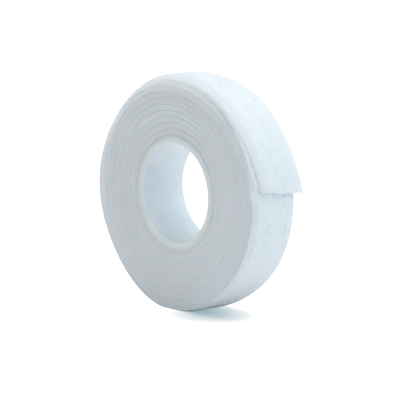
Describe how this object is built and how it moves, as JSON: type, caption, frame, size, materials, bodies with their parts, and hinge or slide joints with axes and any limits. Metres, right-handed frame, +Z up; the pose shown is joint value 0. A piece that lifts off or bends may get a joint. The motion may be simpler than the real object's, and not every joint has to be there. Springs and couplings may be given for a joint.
{
  "type": "hook and loop tape roll",
  "caption": "Roll of white hook and loop tape wound on a plain translucent core and standing on its rim, with soft pile outside and a free end that peels away.",
  "frame": {"origin": "on the floor, at the middle of the flat on which the roll stands, straight under the middle of the bore", "axes": "+Z up, +Y along the bore to the back of the roll, +X to the side of the free end"},
  "size_m": [0.0869, 0.0218, 0.0858],
  "materials": {
    "core_plastic": "milky translucent, smooth",
    "tab_adhesive": "dull film",
    "hook_tape": "white nylon with hooks",
    "loop_tape": "soft white looped pile"
  },
  "bodies": {
    "roll": {"core_tube": "core_plastic", "start_tab": "tab_adhesive", "hook_tape_winding": "hook_tape", "loop_tape_winding": "loop_tape"},
    "tape_end_1": {"hook_tape_end_1": "hook_tape", "loop_tape_end_1": "loop_tape"},
    "tape_end_2": {"hook_tape_end_2": "hook_tape", "loop_tape_end_2": "loop_tape"},
    "tape_end_3": {"hook_tape_end_3": "hook_tape", "loop_tape_end_3": "loop_tape"},
    "tape_end_4": {"hook_tape_end_4": "hook_tape", "loop_tape_end_4": "loop_tape"}
  },
  "joints": [
    {"name": "peel_1", "type": "hinge", "parent": "roll", "child": "tape_end_1", "pos_m": [0.00223, 0, 0.08582], "axis": [0, -1, 0], "range_deg": [0, 35]},
    {"name": "peel_2", "type": "hinge", "parent": "tape_end_1", "child": "tape_end_2", "pos_m": [0.01663, 0, 0.08242], "axis": [0, -1, 0], "range_deg": [0, 35]},
    {"name": "peel_3", "type": "hinge", "parent": "tape_end_2", "child": "tape_end_3", "pos_m": [0.02909, 0, 0.07444], "axis": [0, -1, 0], "range_deg": [0, 35]},
    {"name": "peel_4", "type": "hinge", "parent": "tape_end_3", "child": "tape_end_4", "pos_m": [0.03824, 0, 0.06273], "axis": [0, -1, 0], "range_deg": [0, 35]}
  ]
}
